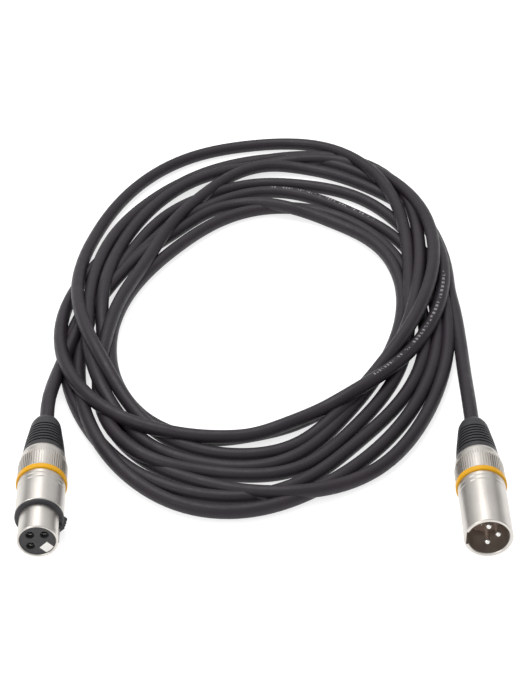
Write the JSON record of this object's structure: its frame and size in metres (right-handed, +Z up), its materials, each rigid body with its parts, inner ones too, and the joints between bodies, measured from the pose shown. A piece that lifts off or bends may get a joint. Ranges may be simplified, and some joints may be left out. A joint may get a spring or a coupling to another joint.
{
  "type": "xlr microphone cable coil",
  "caption": "Coiled microphone cable with a latching female connector and an open-cup male connector, each with a coloured ring, ribbed bushing and grooved boot.",
  "frame": {"origin": "centre of the connectors' box at its bottom, on the surface the cable lies on", "axes": "+Z up, -Y out of both connector mouths, +X from the female connector to the male one"},
  "size_m": [0.1948, 0.3048, 0.0204],
  "materials": {
    "nickel": "satin nickel plate, warm grey",
    "male_insert": "dark brown-black moulding",
    "female_insert": "dark grey moulding",
    "contact_silver": "bright silver plate",
    "latch_steel": "bright nickel-plated steel",
    "black_rubber": "matte black",
    "amber_ring": "amber yellow, smooth",
    "boot_black": "matte black, grooved",
    "cable_jacket": "matte charcoal jacket",
    "chuck_plastic": "natural white",
    "wire_red": "red insulation",
    "wire_white": "white insulation",
    "wire_shield": "twisted bare copper"
  },
  "bodies": {
    "cable": {"male_shell": "nickel", "male_insert": "male_insert", "male_pin_1": "contact_silver", "male_pin_2": "contact_silver", "male_pin_3": "contact_silver", "male_chuck": "chuck_plastic", "male_wire_1": "wire_shield", "male_wire_2": "wire_red", "male_wire_3": "wire_white", "female_shell": "nickel", "female_shoulder_ring": "black_rubber", "female_insert": "female_insert", "female_contact_1": "contact_silver", "female_contact_2": "contact_silver", "female_contact_3": "contact_silver", "female_latch_pin": "latch_steel", "female_latch_spring": "latch_steel", "female_chuck": "chuck_plastic", "female_wire_1": "wire_shield", "female_wire_2": "wire_red", "female_wire_3": "wire_white", "cable_coil": "cable_jacket", "cable_run_female": "cable_jacket", "cable_run_male": "cable_jacket"},
    "female_latch": {"female_latch_lever": "latch_steel", "female_latch_tab": "black_rubber"},
    "female_ring": {"female_id_ring": "amber_ring"},
    "female_collar": {"female_bushing": "nickel", "female_boot": "boot_black"},
    "male_ring": {"male_id_ring": "amber_ring"},
    "male_collar": {"male_bushing": "nickel", "male_boot": "boot_black"}
  },
  "joints": [
    {"name": "latch_press", "type": "hinge", "parent": "cable", "child": "female_latch", "pos_m": [-0.08217, -0.03457, 0.0066], "axis": [0.7186, 0.0326, 0.6947], "range_deg": [0, 6], "stiffness_Nm_per_rad": 0.5, "springref_deg": -4.58, "deforming": ["female_latch_spring"]},
    {"name": "female_ring_slide", "type": "slide", "parent": "cable", "child": "female_ring", "axis": [-0.0454, 0.999, 0], "range_m": [0, 0.00301]},
    {"name": "female_collar_turn", "type": "hinge", "parent": "female_ring", "child": "female_collar", "pos_m": [-0.08747, 0.00563, 0.0102], "axis": [-0.0454, 0.999, 0], "range_deg": [0, 1080]},
    {"name": "male_ring_slide", "type": "slide", "parent": "cable", "child": "male_ring", "axis": [0, 1, 0], "range_m": [0, 0.00301]},
    {"name": "male_collar_turn", "type": "hinge", "parent": "male_ring", "child": "male_collar", "pos_m": [0.08725, 0.00437, 0.0102], "axis": [0, 1, 0], "range_deg": [0, 1080]}
  ],
  "couplings": [
    {"joint": "female_ring_slide", "follows": "female_collar_turn", "m_per_rad": 0.00015915},
    {"joint": "male_ring_slide", "follows": "male_collar_turn", "m_per_rad": 0.00015915}
  ]
}
